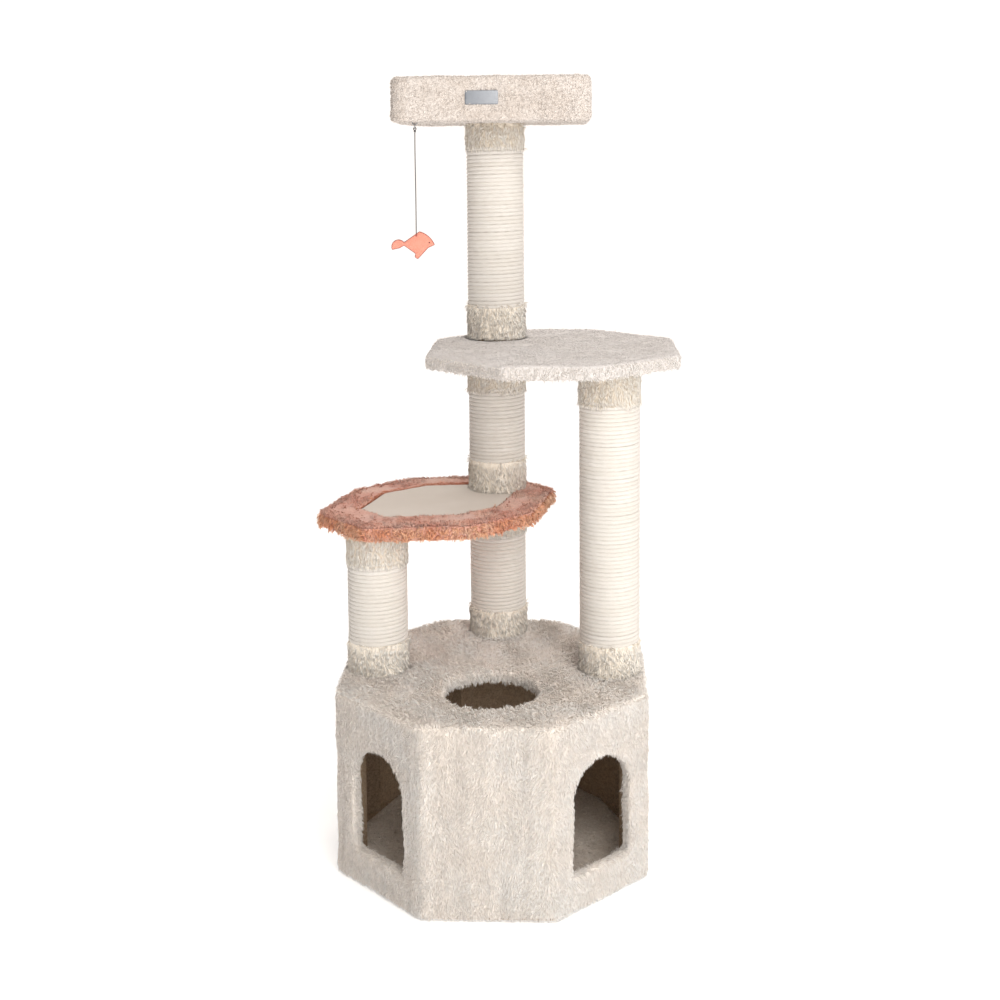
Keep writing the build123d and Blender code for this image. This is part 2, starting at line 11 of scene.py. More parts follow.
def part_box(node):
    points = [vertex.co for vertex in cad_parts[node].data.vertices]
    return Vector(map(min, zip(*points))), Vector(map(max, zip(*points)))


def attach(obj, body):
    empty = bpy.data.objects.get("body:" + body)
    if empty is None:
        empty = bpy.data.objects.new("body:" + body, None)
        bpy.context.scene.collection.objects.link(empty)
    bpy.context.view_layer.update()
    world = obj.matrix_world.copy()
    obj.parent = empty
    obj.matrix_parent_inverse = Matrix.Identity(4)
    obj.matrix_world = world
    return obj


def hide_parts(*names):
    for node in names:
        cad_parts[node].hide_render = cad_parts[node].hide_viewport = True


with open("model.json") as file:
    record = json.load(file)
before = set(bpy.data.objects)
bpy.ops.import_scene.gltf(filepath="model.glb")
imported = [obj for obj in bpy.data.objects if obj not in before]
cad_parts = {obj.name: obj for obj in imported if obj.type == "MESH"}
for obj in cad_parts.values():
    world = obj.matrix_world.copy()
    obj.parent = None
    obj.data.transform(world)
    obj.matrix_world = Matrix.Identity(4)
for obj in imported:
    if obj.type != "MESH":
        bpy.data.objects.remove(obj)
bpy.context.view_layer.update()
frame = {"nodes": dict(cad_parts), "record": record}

MM = 0.001
TAU = 2 * math.pi


# ---------------------------------------------------------------------------
# Camera, light and floor
# ---------------------------------------------------------------------------

CAMERA_PLACE = (0.1047, -2.1143, 1.0688)
CAMERA_TURN = (2.817, 5.682, -0.491)
CAMERA_SENSOR = 36
CAMERA_LENS = 50.99
CAMERA_SHIFT = (0.0089, -0.2034)
SKY_COLOUR = (1.14, 1.075, 1.025, 1)
SKY_SPANS = (
    ((-0.78, -0.6, 0.1), -0.3, 0.7, 1.0, 0.25),
    ((0, 0, 1), 0.3, 0.9, 1.0, 1.15),
    ((1, 0, 0), 0.3, 1.0, 1.0, 0.5),
)
# Name, place, target, size, watts and tint.
SOFTBOXES = (
    ("key", (1.45, -2.95, 0.85), (0, 0, 0.4), (1.6, 1.6), 25, (0.96, 0.995, 1.0)),
    ("front_fill", (0.8, -2.55, 2.15), (0, 0, 0.3), (2.4, 1.6), 50, (1.0, 0.97, 0.925)),
    ("top_fill", (0.6, 1.2, 3.2), (0, 0, 0.4), (3.0, 3.0), 5, (1.0, 0.96, 0.92)),
)
FLOOR_RADIUS = 6
FLOOR_CORNERS = 64
FLOOR_DROP = 0.5 * MM
FLOOR_GLOW = 0.36


def add_camera():
    """The viewing angle: from the front, a little to the right, at the height of the top perch."""
    yaw, pitch, roll = (math.radians(angle) for angle in CAMERA_TURN)
    ahead = Vector((-math.sin(yaw) * math.cos(pitch), math.cos(yaw) * math.cos(pitch), -math.sin(pitch)))
    level = Vector((math.cos(yaw), math.sin(yaw), 0))
    above = level.cross(ahead)
    right = level * math.cos(roll) + above * math.sin(roll)
    up = above * math.cos(roll) - level * math.sin(roll)
    data = bpy.data.cameras.new("camera")
    data.sensor_width = CAMERA_SENSOR
    data.lens = CAMERA_LENS
    data.shift_x, data.shift_y = CAMERA_SHIFT
    camera = bpy.data.objects.new("camera", data)
    bpy.context.collection.objects.link(camera)
    turn = Matrix((right, up, -ahead)).transposed().to_4x4()
    camera.matrix_world = Matrix.Translation(CAMERA_PLACE) @ turn
    bpy.context.scene.camera = camera


def add_softbox(name, place, target, size, power, tint):
    """A rectangular area light at a place, turned towards a target."""
    data = bpy.data.lights.new(name, "AREA")
    data.shape = "RECTANGLE"
    data.size, data.size_y = size
    data.energy = power
    data.color = tint
    light = bpy.data.objects.new(name, data)
    bpy.context.collection.objects.link(light)
    light.location = place
    light.rotation_euler = (Vector(target) - Vector(place)).to_track_quat("-Z", "Y").to_euler()


def add_light():
    """A sky dimmed from the front left and the right and lifted overhead, and the softboxes.
    Each of SKY_SPANS is a side, the span of facing it, and the sky's strength at both ends."""
    scene = bpy.context.scene
    scene.view_settings.view_transform = "Standard"
    world = bpy.data.worlds.new("studio")
    world.use_nodes = True
    sky = world.node_tree
    way = sky.nodes.new("ShaderNodeTexCoord").outputs["Generated"]
    background = sky.nodes["Background"]
    background.inputs["Color"].default_value = SKY_COLOUR
    strength = None
    for side, *span in SKY_SPANS:
        toward = sky.nodes.new("ShaderNodeVectorMath")
        toward.operation = "DOT_PRODUCT"
        toward.inputs[1].default_value = side
        ramp = sky.nodes.new("ShaderNodeMapRange")
        ramp.interpolation_type = "SMOOTHSTEP"
        for socket, value in zip(("From Min", "From Max", "To Min", "To Max"), span):
            ramp.inputs[socket].default_value = value
        sky.links.new(way, toward.inputs[0])
        sky.links.new(toward.outputs["Value"], ramp.inputs["Value"])
        if strength is None:
            strength = ramp.outputs["Result"]
            continue
        product = sky.nodes.new("ShaderNodeMath")
        product.operation = "MULTIPLY"
        sky.links.new(strength, product.inputs[0])
        sky.links.new(ramp.outputs["Result"], product.inputs[1])
        strength = product.outputs["Value"]
    sky.links.new(strength, background.inputs["Strength"])
    scene.world = world
    for softbox in SOFTBOXES:
        add_softbox(*softbox)


def add_floor():
    """A white round floor, just under the tree's foot."""
    mesh = bpy.data.meshes.new("studio_floor")
    turns = [TAU * step / FLOOR_CORNERS for step in range(FLOOR_CORNERS)]
    rim = [(FLOOR_RADIUS * math.cos(turn), FLOOR_RADIUS * math.sin(turn), -FLOOR_DROP) for turn in turns]
    mesh.from_pydata(rim, [], [tuple(range(FLOOR_CORNERS))])
    floor = bpy.data.objects.new("studio_floor", mesh)
    bpy.context.collection.objects.link(floor)
    paint = Finish("studio_floor_paint", roughness=0.85)
    paint.set("Base Color", (0.97, 0.97, 0.968))
    paint.set("Emission Color", (1.0, 1.0, 1.0))
    paint.set("Emission Strength", FLOOR_GLOW)
    paint.coat(floor)


# ---------------------------------------------------------------------------
# Finishes: shader maths as Python expressions
# ---------------------------------------------------------------------------

class Value:
    """One output socket. Arithmetic on values adds Math nodes to the finish."""

    def __init__(self, finish, socket):
        self.finish = finish
        self.socket = socket

    def math(self, operation, first, second=0.0):
        return self.finish.node("ShaderNodeMath", {"operation": operation}, {0: first, 1: second})

    def __add__(self, other):
        return self.math("ADD", self, other)

    __radd__ = __add__

    def __sub__(self, other):
        return self.math("SUBTRACT", self, other)

    def __rsub__(self, other):
        return self.math("SUBTRACT", other, self)

    def __mul__(self, other):
        return self.math("MULTIPLY", self, other)

    __rmul__ = __mul__

    def __pow__(self, power):
        return self.math("POWER", self, power)

    def sine(self):
        return self.math("SINE", self)

    def fraction(self):
        return self.math("FRACT", self)

    def most(self, other):
        return self.math("MAXIMUM", self, other)

    def size(self):
        return self.math("ABSOLUTE", self)

    def steps(self, low, high):
        """0 below low, 1 above high, smooth between."""
        return self.finish.node(
            "ShaderNodeMapRange", {"interpolation_type": "SMOOTHSTEP"}, {0: self, 1: low, 2: high})


class Finish:
    """One material, with a Principled shader."""

    def __init__(self, name, roughness=0.9, sheen=0.0, metallic=0.0, specular=0.3):
        self.material = bpy.data.materials.new(name)
        self.material.use_nodes = True
        self.tree = self.material.node_tree
        self.shader = self.tree.nodes["Principled BSDF"]
        self.set("Roughness", roughness)
        self.set("Metallic", metallic)
        self.set("Specular IOR Level", specular)
        self.set("Sheen Weight", sheen)
        self.set("Sheen Roughness", 0.5)

    def put(self, socket, value):
        if isinstance(value, Value):
            self.tree.links.new(value.socket, socket)
        elif isinstance(value, (tuple, list)) and socket.type == "RGBA":
            socket.default_value = (*value[:3], 1.0)
        else:
            socket.default_value = value

    def set(self, name, value):
        self.put(self.shader.inputs[name], value)

    def node(self, kind, settings=None, inputs=None, output=0):
        """Any node: its type, its settings, then the values or links of its sockets."""
        made = self.tree.nodes.new(kind)
        for key, value in (settings or {}).items():
            setattr(made, key, value)
        for key, value in (inputs or {}).items():
            self.put(made.inputs[key], value)
        return Value(self, made.outputs[output])

    def place(self):
        return self.node("ShaderNodeTexCoord", output="Object")

    def field(self, name):
        """A number stored on the mesh's points."""
        return self.node("ShaderNodeAttribute", {"attribute_name": name}, output="Fac")

    def noise(self, scale, detail=2.0, roughness=0.5, where=None, distortion=0.0):
        inputs = {"Vector": where or self.place(), "Scale": scale, "Detail": detail,
                  "Roughness": roughness, "Distortion": distortion}
        return self.node("ShaderNodeTexNoise", None, inputs)

    def cells(self, scale):
        return self.node("ShaderNodeTexVoronoi", None, {"Vector": self.place(), "Scale": scale})

    def stretched(self, x, y, z):
        """Object coordinates scaled along each axis."""
        return self.node("ShaderNodeVectorMath", {"operation": "MULTIPLY"}, {0: self.place(), 1: (x, y, z)})

    def split(self, vector):
        made = self.tree.nodes.new("ShaderNodeSeparateXYZ")
        self.put(made.inputs[0], vector)
        return [Value(self, made.outputs[axis]) for axis in range(3)]

    def mix(self, factor, first, second, blend="MIX"):
        """Colours mixed by a factor."""
        settings = {"data_type": "RGBA", "blend_type": blend}
        return self.node("ShaderNodeMix", settings, {0: factor, 6: first, 7: second}, output=2)

    def bump(self, height, distance, strength):
        inputs = {"Height": height, "Distance": distance, "Strength": strength}
        self.set("Normal", self.node("ShaderNodeBump", None, inputs))

    def coat(self, *pieces):
        for piece in pieces:
            piece.data.materials.clear()
            piece.data.materials.append(self.material)


def pile_finish(name, root, tip, patch, patch_scale=11.0, sheen=0.25, spread=0.16, grey=None,
                streak=(300, 300, 110), fleck=0.35):
    """Plush pile: painted shade between the tufts, from the dark root colour up to light tips, with brushed
    patches and tuft to tuft change.
    streak scales the bunches of strands darkened towards the root's painted shade along each axis, and
    fleck is how strong they are."""
    finish = Finish(name, roughness=0.95, sheen=sheen, specular=0.12)
    along = finish.field("along")
    tone = finish.field("tone")
    patches = finish.noise(patch_scale, detail=3.0, roughness=0.6).steps(0.36, 0.66)
    light = finish.mix(patches, patch, tip)
    if grey:
        light = finish.mix(finish.noise(37.0, detail=1.0).steps(0.5, 0.72) * 0.5, light, grey)
    # Bunches of strands mixed towards the root colour, the painted shade between tufts.
    bunches = finish.noise(1.0, detail=2.0, roughness=0.6, where=finish.stretched(*streak), distortion=0.5)
    light = finish.mix(bunches.steps(0.46, 0.68) * fleck, light, root)
    # Painted shade: each tuft runs from the root colour low down to the light colour at its tip.
    colour = finish.mix(along.steps(0.0, 0.75), root, light)
    shade = 1.0 - spread / 2 + tone * spread
    bright = finish.node("ShaderNodeCombineColor", None, {0: shade, 1: shade, 2: shade})
    finish.set("Base Color", finish.mix(1.0, colour, bright, "MULTIPLY"))
    finish.set("Roughness", 0.88 + 0.1 * tone)
    finish.bump(finish.noise(900.0, detail=2.0), 0.0006, 0.6)
    return finish


# ---------------------------------------------------------------------------
# Mesh tools
# ---------------------------------------------------------------------------

def store(mesh, field, values):
    """One number on each point of a mesh."""
    layer = mesh.attributes.new(field, "FLOAT", "POINT")
    layer.data.foreach_set("value", np.ascontiguousarray(values, dtype=np.float32))


def move_points(piece, points):
    piece.data.vertices.foreach_set("co", points.astype(np.float32).ravel())
    piece.data.update()


def new_piece(name, points, faces_of, sizes, fields, uv):
    """A mesh object from numpy arrays: points, the corners of all faces in one row, and face sizes."""
    mesh = bpy.data.meshes.new(name)
    mesh.vertices.add(len(points))
    mesh.vertices.foreach_set("co", np.ascontiguousarray(points, dtype=np.float32).ravel())
    mesh.loops.add(len(faces_of))
    mesh.loops.foreach_set("vertex_index", np.ascontiguousarray(faces_of, dtype=np.int32))
    mesh.polygons.add(len(sizes))
    starts = np.concatenate(([0], np.cumsum(sizes)[:-1])).astype(np.int32)
    mesh.polygons.foreach_set("loop_start", starts)
    mesh.update(calc_edges=True)
    mesh.shade_smooth()
    for field, values in fields.items():
        store(mesh, field, values)
    layer = mesh.uv_layers.new(name="OFBake")
    layer.data.foreach_set("uv", np.ascontiguousarray(uv, dtype=np.float32).ravel())
    piece = bpy.data.objects.new(name, mesh)
    bpy.context.collection.objects.link(piece)
    return piece


def arrays_of(piece):
    """Points, point normals and triangles of a mesh object."""
    mesh = piece.data
    mesh.calc_loop_triangles()
    points = np.empty(len(mesh.vertices) * 3, dtype=np.float32)
    mesh.vertices.foreach_get("co", points)
    normals = np.empty(len(mesh.vertices) * 3, dtype=np.float32)
    mesh.vertices.foreach_get("normal", normals)
    triangles = np.empty(len(mesh.loop_triangles) * 3, dtype=np.int32)
    mesh.loop_triangles.foreach_get("vertices", triangles)
    points, normals, triangles = (row.reshape(-1, 3) for row in (points, normals, triangles))
    return points.astype(float), normals.astype(float), triangles


def apply_all(piece):
    """The piece's modifiers made into its mesh."""
    bpy.context.view_layer.update()
    depsgraph = bpy.context.evaluated_depsgraph_get()
    mesh = bpy.data.meshes.new_from_object(piece.evaluated_get(depsgraph))
    piece.modifiers.clear()
    old = piece.data
    piece.data = mesh
    bpy.data.meshes.remove(old)


def unit(vectors):
    return vectors / np.maximum(np.linalg.norm(vectors, axis=-1, keepdims=True), 1e-9)


def drift(points, size, seed):
    """Smooth wandering vectors over space, about 1 long, with features of the given size."""
    rng = np.random.default_rng(seed)
    waves = 7
    total = np.zeros_like(points)
    for _ in range(waves):
        way = unit(rng.normal(size=3)) * TAU / size * rng.uniform(0.5, 1.3)
        phase = points @ way + rng.uniform(0, TAU)
        total += np.sin(phase)[:, None] * rng.normal(size=3)[None, :]
    return total / math.sqrt(waves)


def skin_from(nodes, name, voxel, inset, rounds, lumps, lump_size, seed, shown=0.5):
    """A soft skin from the CAD solids: fused, rounded in some rounds of smoothing, drawn in by inset,
    and uneven, with lumps of that height and size.
    shown is where its colour lies between a tuft's root, which is painted shade, and tip."""
    mesh = bpy.data.meshes.new(name)
    points, faces = [], []
    for node in nodes:
        source = frame["nodes"][node].data
        base = len(points)
        points += [tuple(vertex.co) for vertex in source.vertices]
        faces += [tuple(base + corner for corner in face.vertices) for face in source.polygons]
    mesh.from_pydata(points, [], faces)
    piece = bpy.data.objects.new(name, mesh)
    bpy.context.collection.objects.link(piece)
    melt = piece.modifiers.new("melt", "REMESH")
    melt.mode = "VOXEL"
    melt.voxel_size = voxel
    soften = piece.modifiers.new("soften", "SMOOTH")
    soften.factor = 0.5
    soften.iterations = rounds
    apply_all(piece)
    co, normals, _ = arrays_of(piece)
    uneven = drift(co, lump_size, seed)[:, 0] * 0.6 + drift(co, lump_size * 0.35, seed + 1)[:, 0] * 0.4
    co += normals * (uneven * lumps - inset)[:, None]
    move_points(piece, co)
    piece.data.shade_smooth()
    # The skin's colour is set part way towards the root's painted shade.
    for field, level in (("along", shown), ("tone", 0.5)):
        store(piece.data, field, np.full(len(co), level))
    return piece


def sow(piece, count, seed, keep):
    """Random spots on a skin: places and normals. keep(places, normals) picks those wanted."""
    rng = np.random.default_rng(seed)
    points, normals, triangles = arrays_of(piece)
    corners = points[triangles]
    faces = np.cross(corners[:, 1] - corners[:, 0], corners[:, 2] - corners[:, 0])
    wanted = keep(corners.mean(axis=1), unit(faces))
    triangles = triangles[wanted]
    area = np.linalg.norm(faces[wanted], axis=1) / 2
    ladder = np.cumsum(area) / area.sum()
    steps = (np.arange(count) + rng.uniform(0, 1, count)) / count
    chosen = np.searchsorted(ladder, steps).clip(0, len(ladder) - 1)
    a, b = rng.uniform(0, 1, (2, count))
    flip = a + b > 1
    a[flip], b[flip] = 1 - a[flip], 1 - b[flip]
    weights = np.stack([1 - a - b, a, b], axis=1)[:, :, None]
    places = (points[triangles[chosen]] * weights).sum(axis=1)
    ups = unit((normals[triangles[chosen]] * weights).sum(axis=1))
    return places, ups


# A tuft's thickness from root to tip, and the places of its cross-sections.
STRAND = (1.0, 0.95, 0.62, 0.3)
LOOP = (0.55, 0.9, 1.1, 0.8)
PLAIN = (0, 0.5, 1)
CURL = (0, 0.33, 0.67, 1)
TUFT_SIDES = 3


def tufts(name, spots, lay, length, width, stand=0.5, bend=1.0, clump=0.5, clump_size=12,
          curl=0.0, spread=0.35, seed=1, rings=PLAIN, taper=STRAND):
    """Tufts rooted on spots. lay is the way they are brushed, stand is how far they stand up, and bend is
    how much they lie down again. clump draws them towards a leader, of which there is one in clump_size.
    rings are the places of a tuft's cross-sections along it, and taper its thickness from root to tip."""
    rng = np.random.default_rng(seed)
    places, ups = spots
    count = len(places)
    lay = np.broadcast_to(lay, places.shape)
    flat = lay - ups * (lay * ups).sum(axis=1, keepdims=True)
    flat = unit(flat + rng.normal(size=places.shape) * spread)
    flat = unit(flat - ups * (flat * ups).sum(axis=1, keepdims=True))
    aside = np.cross(ups, flat)
    size = length * rng.uniform(0.65, 1.15, count)
    lift = stand * rng.uniform(0.7, 1.3, count)
    along = np.array(rings, dtype=float)
    levels = len(rings)
    track = np.zeros((count, levels, 3))
    track[:, 0] = places - ups * width
    wobble = rng.normal(size=(count, 2)) * curl
    for level in range(1, levels):
        middle = (along[level] + along[level - 1]) / 2
        rise = np.clip(lift * (1.6 - 1.5 * bend * middle), -0.6, 2.0)
        turn = wobble[:, 0] * np.sin(middle * 5 + wobble[:, 1] * 3)
        way = unit(flat * (0.35 + middle)[..., None] + ups * rise[:, None] + aside * turn[:, None])
        track[:, level] = track[:, level - 1] + way * (size * (along[level] - along[level - 1]))[:, None]
    leaders = rng.choice(count, max(count // clump_size, 1), replace=False)
    tree = KDTree(len(leaders))
    for index, leader in enumerate(leaders):
        tree.insert(places[leader], index)
    tree.balance()
    nearest = leaders[np.array([tree.find(place)[1] for place in places])]
    pull = track[nearest] - track
    pull[np.linalg.norm(pull[:, 0], axis=1) > 4 * length] = 0
    track += pull * (clump * along ** 1.4)[None, :, None]
    tone = 0.5 * rng.uniform(0, 1, count)
    tone += 0.5 * rng.uniform(0, 1, count)[nearest]
    ahead = unit(np.gradient(track, axis=1))
    across = unit(np.cross(ahead, ups[:, None, :] + aside[:, None, :] * 0.2))
    other = np.cross(ahead, across)
    girth = width * np.interp(along, np.linspace(0, 1, len(taper)), taper)
    girth = girth[None, :] * rng.uniform(0.75, 1.25, count)[:, None]
    sides = TUFT_SIDES
    ring = np.arange(sides) * TAU / sides
    body = levels - 1
    rim = (across[:, :body, None] * np.cos(ring)[:, None] + other[:, :body, None] * np.sin(ring)[:, None])
    rim = track[:, :body, None] + rim * girth[:, :body, None, None] / 2
    points = np.concatenate([rim.reshape(count, -1, 3), track[:, -1:]], axis=1)
    per = points.shape[1]
    corners, sizes, spots_uv = [], [], []
    for level in range(body - 1):
        for side in range(sides):
            after = (side + 1) % sides
            low, high = level * sides, (level + 1) * sides
            corners += [low + side, low + after, high + after, high + side]
            sizes.append(4)
            left, right = side / sides, (side + 1) / sides
            bottom, top = along[level], along[level + 1]
            spots_uv += [(left, bottom), (right, bottom), (right, top), (left, top)]
    for side in range(sides):
        after = (side + 1) % sides
        low = (body - 1) * sides
        corners += [low + side, low + after, per - 1]
        sizes.append(3)
        spots_uv += [(side / sides, along[-2]), ((side + 1) / sides, along[-2]), ((side + 0.5) / sides, 1)]
    corners += list(range(sides))[::-1]
    sizes.append(sides)
    spots_uv += [((side + 0.5) / sides, 0.0) for side in range(sides)]
    faces = (np.array(corners)[None, :] + (np.arange(count) * per)[:, None]).ravel()
    grid = math.ceil(math.sqrt(count))
    cell = np.stack([np.arange(count) % grid, np.arange(count) // grid], axis=1)
    uv = (cell[:, None, :] + 0.08 + 0.84 * np.array(spots_uv)[None, :, :]) / grid
    fields = {
        "along": np.tile(np.append(np.repeat(along[:body], sides), 1.0), count),
        "tone": np.repeat(tone, per),
    }
    return new_piece(name, points.reshape(-1, 3), faces, np.tile(sizes, count), fields, uv)


def lift_off_floor(pile):
    """Tips that would reach into the floor end on it."""
    points, _, _ = arrays_of(pile)
    points[:, 2] = np.maximum(points[:, 2], 0.0)
    move_points(pile, points)


# ---------------------------------------------------------------------------
# Condo
# ---------------------------------------------------------------------------

WALLS = {"right": 0, "rear_right": 45, "rear": 90, "rear_left": 135,
         "left": 180, "front_left": 225, "front": 270, "front_right": 315}
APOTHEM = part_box("condo_wall_plush")[1][0]
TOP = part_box("condo_wall_plush")[1][2]
HOLE_LOW, HOLE_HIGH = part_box("condo_hole_lining")
HOLE = np.array([(HOLE_LOW[0] + HOLE_HIGH[0]) / 2, (HOLE_LOW[1] + HOLE_HIGH[1]) / 2])
HOLE_RADIUS = (HOLE_HIGH[0] - HOLE_LOW[0]) / 2
HALF_WALL = math.radians(22.6)


def build_condo():
    """One skin over the walls, doors, top and hole, with a set of tufts for each wall and the top."""
    nodes = ("condo_wall_plush", "condo_door_linings", "condo_top_plush", "condo_hole_lining")
    skin = skin_from(nodes, "condo_plush_backing", 4 * MM, 1.5 * MM, 10, 1.5 * MM, 0.07, seed=3, shown=0.35)
    plush.coat(skin)
    made = [skin]
    for index, (name, turn) in enumerate(WALLS.items()):
        out = np.array([math.cos(math.radians(turn)), math.sin(math.radians(turn)), 0])
        beside = np.array([-out[1], out[0], 0])

        def on_wall(places, faces, out=out, beside=beside):
            reach = places @ out
            inside = np.abs(places @ beside) < reach * math.tan(HALF_WALL)
            facing = (faces @ out > -0.15) & (reach > APOTHEM - 22 * MM)
            below_top = (faces[:, 2] < 0.75) | (places[:, 2] < TOP - 40 * MM)
            return inside & facing & (places[:, 2] > 4 * MM) & below_top

        spots = sow(skin, 15500, 20 + index, on_wall)
        lay = np.array([0, 0, -1.0]) + 0.36 * drift(spots[0], 0.05, 40 + index)
        made.append(tufts("condo_plush_" + name, spots, lay, 11 * MM, 1.0 * MM, stand=0.42,
                          clump=0.35, clump_size=6, spread=0.22, seed=60 + index))
        lift_off_floor(made[-1])

    def on_top(places, faces):
        return (places[:, 2] > TOP - 18 * MM) & (faces[:, 2] > 0.25)

    def in_hole(places, faces):
        from_hole = np.linalg.norm(places[:, :2] - HOLE, axis=1)
        return (from_hole < HOLE_RADIUS + 5 * MM) & (faces[:, 2] <= 0.6) & (places[:, 2] > TOP - 14 * MM)

    for half in range(2):
        spots = sow(skin, 18500, 80 + half,
                    lambda places, faces: on_top(places, faces) & ((places[:, 0] > 0) == bool(half)))
        lay = 0.6 * drift(spots[0], 0.07, 90) + 0.3 * unit(spots[0] * (1, 1, 0)) + np.array([0, -0.5, 0])
        made.append(tufts("condo_plush_top_" + str(half), spots, lay, 11 * MM, 1.2 * MM, stand=0.8,
                          clump=0.45, clump_size=8, spread=0.4, seed=95 + half))
    spots = sow(skin, 4000, 85, in_hole)
    lay = np.array([0, 0, -0.8]) + 0.3 * drift(spots[0], 0.05, 92)
    made.append(tufts("condo_plush_hole", spots, lay, 12 * MM, 1.3 * MM, stand=0.85,
                      clump=0.55, clump_size=8, spread=0.45, seed=99, rings=CURL))
    plush.coat(*made[1:])
    # The condo's top and hole take a lighter copy of the plush: painted light, as the platforms shade the
    # top and the hole's lining is lit less.
    painted_light_top_plush.coat(*made[-3:])
    for piece in made:
        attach(piece, "tree")
    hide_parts(*nodes)
    build_condo_floor()


def build_condo_floor():
    """The pad on the floor inside, in longer pile, greyer than the walls' and darkened further as painted
    shade.
    """
    pad = skin_from(("condo_floor_plush",), "condo_floor_backing", 4 * MM, 1 * MM, 4, 0.8 * MM, 0.05,
                    seed=7)
    spots = sow(pad, 9000, 8, lambda places, faces: faces[:, 2] > 0.5)
    lay = drift(spots[0], 0.08, 9)
    pile = tufts("condo_floor_pile", spots, lay, 8 * MM, 2.2 * MM, stand=0.5, clump=0.4, seed=10)
    painted_shade_floor_plush.coat(pad, pile)
    for piece in (pad, pile):
        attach(piece, "tree")
    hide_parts("condo_floor_plush")


# ---------------------------------------------------------------------------
# Posts
# ---------------------------------------------------------------------------

POSTS = ("left_post", "right_post", "rear_post_lower", "rear_post_middle", "rear_post_upper")
ROPE_PITCH = 6.15 * MM
ROPE_HALF = 3.3 * MM
ROPE_DEPTH = 2.3 * MM
ROPE_LAY = 17 * MM
ROPE_TUCK = 3.5 * MM
ROPE_STEPS = 84
ROPE_SIDES = 10
ROPE_WAVER = 0.16 * MM
ROPE_SLACK = 0.12 * MM
COLLAR_TUFTS = 3000
COLLAR_SHARE = 0.05


def winding(name, node, seed):
    """Three-strand rope wound close on its tube, as one long helix."""
    low, high = (np.array(corner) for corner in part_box(node))
    centre = (low + high) / 2
    outer = (high[0] - low[0]) / 2
    reel = outer - ROPE_DEPTH
    steps, around = ROPE_STEPS, ROPE_SIDES
    turns = (high[2] - low[2] + 2 * ROPE_TUCK) / ROPE_PITCH
    count = int(turns * steps)
    turn = np.arange(count + 1) / steps
    rng = np.random.default_rng(seed)
    waver = rng.normal(size=int(turns) + 2)
    waver = np.interp(turn, np.arange(len(waver)), waver) * ROPE_WAVER
    angle = turn * TAU + rng.uniform(0, TAU)
    slack = rng.normal(size=int(turns * 3) + 3)
    radius = reel + np.interp(turn * 3, np.arange(len(slack)), slack) * ROPE_SLACK
    height = low[2] - ROPE_TUCK + turn * ROPE_PITCH + waver
    way = np.stack([np.cos(angle), np.sin(angle), np.zeros_like(angle)], axis=1)
    spine = np.stack([centre[0] + radius * way[:, 0], centre[1] + radius * way[:, 1], height], axis=1)
    ring = np.arange(around) * TAU / around
    twist = turn[:, None] * TAU * reel * TAU / ROPE_LAY
    lobe = np.abs(np.cos(1.5 * (ring[None, :] + twist / 3)))
    section = 0.93 + 0.1 * lobe
    outward = ROPE_DEPTH * way[:, None, :] * np.cos(ring)[None, :, None]
    upward = ROPE_HALF * np.array([0, 0, 1.0]) * np.sin(ring)[None, :, None]
    points = spine[:, None, :] + section[..., None] * (outward + upward)
    row = np.arange(count)[:, None] * around
    side = np.arange(around)[None, :]
    after = (side + 1) % around
    quads = np.stack([row + side, row + around + side, row + around + after, row + after], axis=-1)
    caps = [np.arange(around), count * around + np.arange(around)[::-1]]
    faces = np.concatenate([quads.ravel(), *caps])
    sizes = np.concatenate([np.full(count * around, 4), [around, around]])
    rows = math.ceil(turns) + 1
    share = np.arange(count)
    lane = share // steps
    v_low = (lane[:, None] + 0.05 + 0.9 * np.arange(around)[None, :] / around) / rows
    v_high = v_low + 0.9 / around / rows
    u_low = np.broadcast_to(((share % steps) / steps)[:, None], v_low.shape)
    u_high = np.broadcast_to(((share % steps + 1) / steps)[:, None], v_low.shape)
    uv = np.stack([np.stack([u_low, v_low], -1), np.stack([u_high, v_low], -1),
                   np.stack([u_high, v_high], -1), np.stack([u_low, v_high], -1)], axis=2).reshape(-1, 2)
    cap_uv = np.tile([[0.999, 0.999]], (2 * around, 1))
    tone = rng.uniform(0, 1, int(turns * 5) + 6)
    tone = np.interp(turn * 5, np.arange(len(tone)), tone)
    fields = {
        # deep grows towards the side turned in to the tube, where the sisal finish paints shade.
        "deep": (1 - np.tile(np.cos(ring), count + 1)) / 2,
        "strand": lobe.ravel(),
        "tone": np.repeat(tone, around),
    }
    piece = new_piece(name, points.reshape(-1, 3), faces, sizes, fields, np.concatenate([uv, cap_uv]))
    sisal.coat(piece)
    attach(piece, "tree")
    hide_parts(node)


